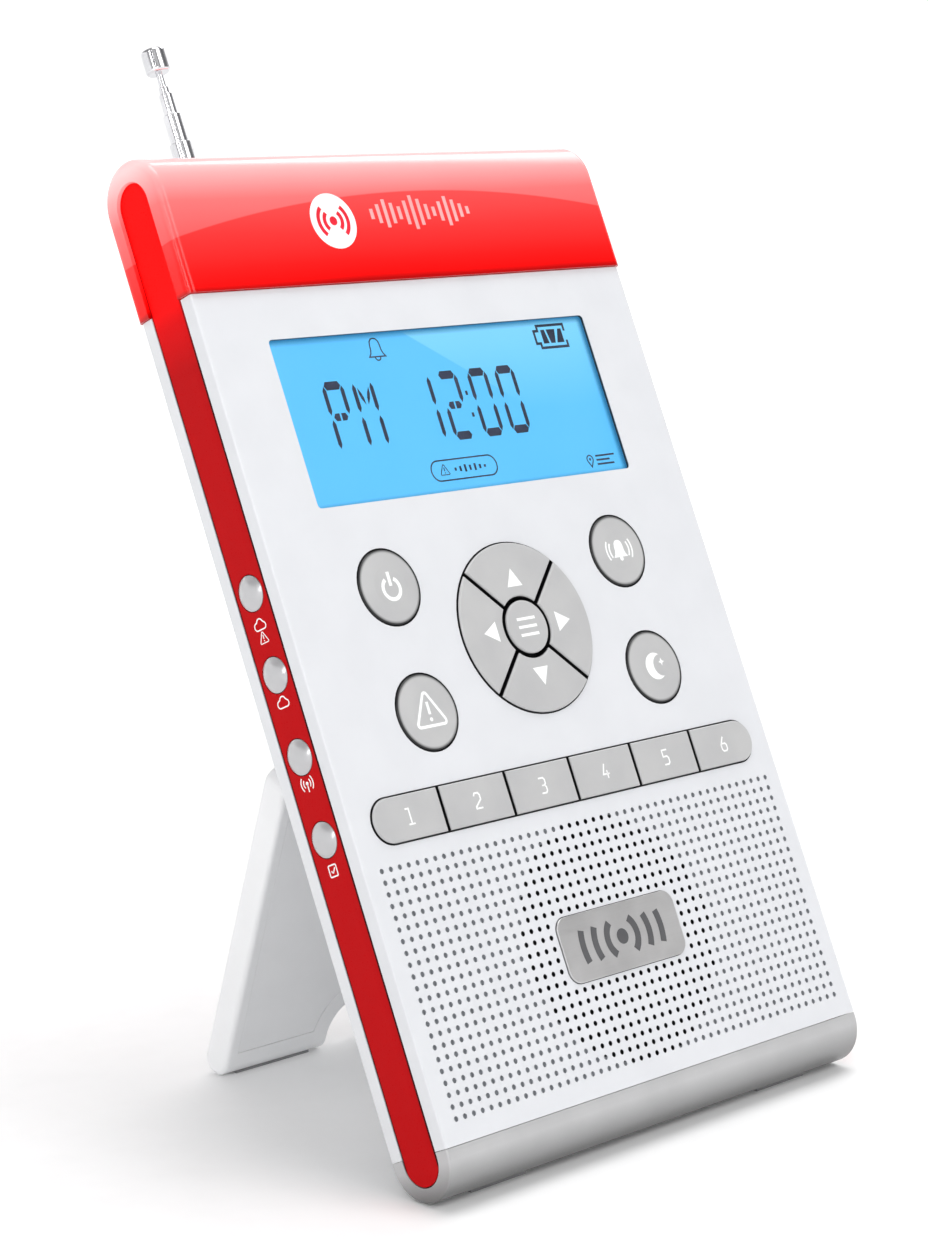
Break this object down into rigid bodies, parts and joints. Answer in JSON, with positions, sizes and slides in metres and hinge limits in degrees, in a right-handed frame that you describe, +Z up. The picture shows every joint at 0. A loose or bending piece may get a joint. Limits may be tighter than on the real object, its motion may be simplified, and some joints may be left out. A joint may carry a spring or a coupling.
{
  "type": "emergency radio",
  "caption": "Slim weather-alert radio with a red light-up cap, backlit display, key pad, speaker grille, folding stand and telescopic aerial.",
  "frame": {"origin": "on the floor, under the centre of the radio's box, with the stand open", "axes": "+Z up from the floor, +Y from the front towards the stand, +X to the right seen from the front"},
  "size_m": [0.1324, 0.1244, 0.2291],
  "materials": {
    "white_satin": "satin moulded",
    "red_lens": "translucent glossy",
    "red_gloss": "glossy",
    "silver_paint": "satin silver",
    "key_grey": "satin",
    "clear_pane": "polished",
    "display_glass": "backlit blue",
    "backlight": "glowing",
    "badge_metal": "brushed",
    "chrome": "polished",
    "steel": "plated",
    "nickel": "bright",
    "black_plastic": "moulded",
    "circuit_green": "lacquered board",
    "silicone": "soft",
    "dark_rubber": "matte",
    "cloth": "woven",
    "paper_cone": "pressed pulp",
    "ferrite": "sintered",
    "copper": "enamelled wire",
    "cell_jacket": "printed sleeve",
    "lamp": "moulded epoxy"
  },
  "bodies": {
    "casing": {"aerial_bracket": "steel", "alert_board": "circuit_green", "alert_lamps": "lamp", "alert_lens": "red_lens", "badge": "badge_metal", "base_cap": "silver_paint", "battery_cells": "cell_jacket", "battery_contacts": "nickel", "display_backlight": "backlight", "display_glass": "display_glass", "display_window": "clear_pane", "earphone_jack": "black_plastic", "ferrite_coil": "copper", "ferrite_rod": "ferrite", "foot_pads": "dark_rubber", "front_shell": "white_satin", "grille_cloth": "cloth", "hinge_pin": "steel", "key_mat": "silicone", "left_side_strip": "red_gloss", "main_board": "circuit_green", "power_jack": "black_plastic", "rear_shell": "white_satin", "right_side_strip": "red_gloss", "screws": "steel", "speaker_cone": "paper_cone", "speaker_frame": "steel", "switch_boards": "circuit_green", "tuner_shield": "nickel"},
    "power_key": {"power_key": "key_grey"},
    "siren_key": {"siren_key": "key_grey"},
    "alert_key": {"alert_key": "key_grey"},
    "snooze_key": {"snooze_key": "key_grey"},
    "menu_key": {"menu_key": "key_grey"},
    "nav_up_key": {"nav_up_key": "key_grey"},
    "nav_down_key": {"nav_down_key": "key_grey"},
    "nav_left_key": {"nav_left_key": "key_grey"},
    "nav_right_key": {"nav_right_key": "key_grey"},
    "preset_key_1": {"preset_key_1": "key_grey"},
    "preset_key_2": {"preset_key_2": "key_grey"},
    "preset_key_3": {"preset_key_3": "key_grey"},
    "preset_key_4": {"preset_key_4": "key_grey"},
    "preset_key_5": {"preset_key_5": "key_grey"},
    "preset_key_6": {"preset_key_6": "key_grey"},
    "side_key_1": {"side_key_1": "key_grey"},
    "side_key_2": {"side_key_2": "key_grey"},
    "side_key_3": {"side_key_3": "key_grey"},
    "side_key_4": {"side_key_4": "key_grey"},
    "volume_up_key": {"volume_up_key": "key_grey"},
    "volume_down_key": {"volume_down_key": "key_grey"},
    "battery_door": {"battery_door": "white_satin"},
    "kickstand": {"kickstand": "white_satin", "kickstand_cover": "white_satin", "stand_pads": "dark_rubber"},
    "aerial_swivel": {"aerial_swivel": "chrome"},
    "aerial_tube_1": {"aerial_tube_1": "chrome"},
    "aerial_tube_2": {"aerial_tube_2": "chrome"},
    "aerial_tube_3": {"aerial_tube_3": "chrome"},
    "aerial_tube_4": {"aerial_tube_4": "chrome"},
    "aerial_tip": {"aerial_tip": "chrome"}
  },
  "joints": [
    {"name": "power_key_press", "type": "slide", "parent": "casing", "child": "power_key", "axis": [0, 0.9107, -0.4131], "range_m": [0, 0.0008], "stiffness_N_per_m": 1000, "springref_m": -0.0005},
    {"name": "siren_key_press", "type": "slide", "parent": "casing", "child": "siren_key", "axis": [0, 0.9107, -0.4131], "range_m": [0, 0.0008], "stiffness_N_per_m": 1000, "springref_m": -0.0005},
    {"name": "alert_key_press", "type": "slide", "parent": "casing", "child": "alert_key", "axis": [0, 0.9107, -0.4131], "range_m": [0, 0.0008], "stiffness_N_per_m": 1000, "springref_m": -0.0005},
    {"name": "snooze_key_press", "type": "slide", "parent": "casing", "child": "snooze_key", "axis": [0, 0.9107, -0.4131], "range_m": [0, 0.0008], "stiffness_N_per_m": 1000, "springref_m": -0.0005},
    {"name": "menu_key_press", "type": "slide", "parent": "casing", "child": "menu_key", "axis": [0, 0.9107, -0.4131], "range_m": [0, 0.0008], "stiffness_N_per_m": 1000, "springref_m": -0.0005},
    {"name": "nav_up_key_press", "type": "slide", "parent": "casing", "child": "nav_up_key", "axis": [0, 0.9107, -0.4131], "range_m": [0, 0.0008], "stiffness_N_per_m": 1000, "springref_m": -0.0005},
    {"name": "nav_down_key_press", "type": "slide", "parent": "casing", "child": "nav_down_key", "axis": [0, 0.9107, -0.4131], "range_m": [0, 0.0008], "stiffness_N_per_m": 1000, "springref_m": -0.0005},
    {"name": "nav_left_key_press", "type": "slide", "parent": "casing", "child": "nav_left_key", "axis": [0, 0.9107, -0.4131], "range_m": [0, 0.0008], "stiffness_N_per_m": 1000, "springref_m": -0.0005},
    {"name": "nav_right_key_press", "type": "slide", "parent": "casing", "child": "nav_right_key", "axis": [0, 0.9107, -0.4131], "range_m": [0, 0.0008], "stiffness_N_per_m": 1000, "springref_m": -0.0005},
    {"name": "preset_key_1_press", "type": "slide", "parent": "casing", "child": "preset_key_1", "axis": [0, 0.9107, -0.4131], "range_m": [0, 0.0008], "stiffness_N_per_m": 1000, "springref_m": -0.0005},
    {"name": "preset_key_2_press", "type": "slide", "parent": "casing", "child": "preset_key_2", "axis": [0, 0.9107, -0.4131], "range_m": [0, 0.0008], "stiffness_N_per_m": 1000, "springref_m": -0.0005},
    {"name": "preset_key_3_press", "type": "slide", "parent": "casing", "child": "preset_key_3", "axis": [0, 0.9107, -0.4131], "range_m": [0, 0.0008], "stiffness_N_per_m": 1000, "springref_m": -0.0005},
    {"name": "preset_key_4_press", "type": "slide", "parent": "casing", "child": "preset_key_4", "axis": [0, 0.9107, -0.4131], "range_m": [0, 0.0008], "stiffness_N_per_m": 1000, "springref_m": -0.0005},
    {"name": "preset_key_5_press", "type": "slide", "parent": "casing", "child": "preset_key_5", "axis": [0, 0.9107, -0.4131], "range_m": [0, 0.0008], "stiffness_N_per_m": 1000, "springref_m": -0.0005},
    {"name": "preset_key_6_press", "type": "slide", "parent": "casing", "child": "preset_key_6", "axis": [0, 0.9107, -0.4131], "range_m": [0, 0.0008], "stiffness_N_per_m": 1000, "springref_m": -0.0005},
    {"name": "side_key_1_press", "type": "slide", "parent": "casing", "child": "side_key_1", "axis": [1, 0, 0], "range_m": [0, 0.0006], "stiffness_N_per_m": 1000, "springref_m": -0.0005},
    {"name": "side_key_2_press", "type": "slide", "parent": "casing", "child": "side_key_2", "axis": [1, 0, 0], "range_m": [0, 0.0006], "stiffness_N_per_m": 1000, "springref_m": -0.0005},
    {"name": "side_key_3_press", "type": "slide", "parent": "casing", "child": "side_key_3", "axis": [1, 0, 0], "range_m": [0, 0.0006], "stiffness_N_per_m": 1000, "springref_m": -0.0005},
    {"name": "side_key_4_press", "type": "slide", "parent": "casing", "child": "side_key_4", "axis": [1, 0, 0], "range_m": [0, 0.0006], "stiffness_N_per_m": 1000, "springref_m": -0.0005},
    {"name": "volume_up_key_press", "type": "slide", "parent": "casing", "child": "volume_up_key", "axis": [-1, 0, 0], "range_m": [0, 0.0006], "stiffness_N_per_m": 1000, "springref_m": -0.0005},
    {"name": "volume_down_key_press", "type": "slide", "parent": "casing", "child": "volume_down_key", "axis": [-1, 0, 0], "range_m": [0, 0.0006], "stiffness_N_per_m": 1000, "springref_m": -0.0005},
    {"name": "kickstand_fold", "type": "hinge", "parent": "casing", "child": "kickstand", "pos_m": [0, 0.0047, 0.10645], "axis": [-1, 0, 0], "range_deg": [0, 41.8]},
    {"name": "battery_door_open", "type": "hinge", "parent": "casing", "child": "battery_door", "pos_m": [0.008, 0.01048, 0.13045], "axis": [-1, 0, 0], "range_deg": [0, 80]},
    {"name": "aerial_swivel_turn", "type": "hinge", "parent": "casing", "child": "aerial_swivel", "pos_m": [-0.0364, 0.01011, 0.11838], "axis": [0, 0.9107, -0.4131], "range_deg": [-90, 90]},
    {"name": "aerial_tilt", "type": "hinge", "parent": "aerial_swivel", "child": "aerial_tube_1", "pos_m": [-0.0364, 0.01011, 0.11838], "axis": [-1, 0, 0], "range_deg": [0, 90]},
    {"name": "aerial_tube_2_slide", "type": "slide", "parent": "aerial_tube_1", "child": "aerial_tube_2", "axis": [0, 0.4131, 0.9107], "range_m": [-0.0062, 0.0713]},
    {"name": "aerial_tube_3_slide", "type": "slide", "parent": "aerial_tube_2", "child": "aerial_tube_3", "axis": [0, 0.4131, 0.9107], "range_m": [-0.0044, 0.0691]},
    {"name": "aerial_tube_4_slide", "type": "slide", "parent": "aerial_tube_3", "child": "aerial_tube_4", "axis": [0, 0.4131, 0.9107], "range_m": [-0.0012, 0.0683]},
    {"name": "aerial_tip_slide", "type": "slide", "parent": "aerial_tube_4", "child": "aerial_tip", "axis": [0, 0.4131, 0.9107], "range_m": [-0.003, 0.0627]}
  ]
}
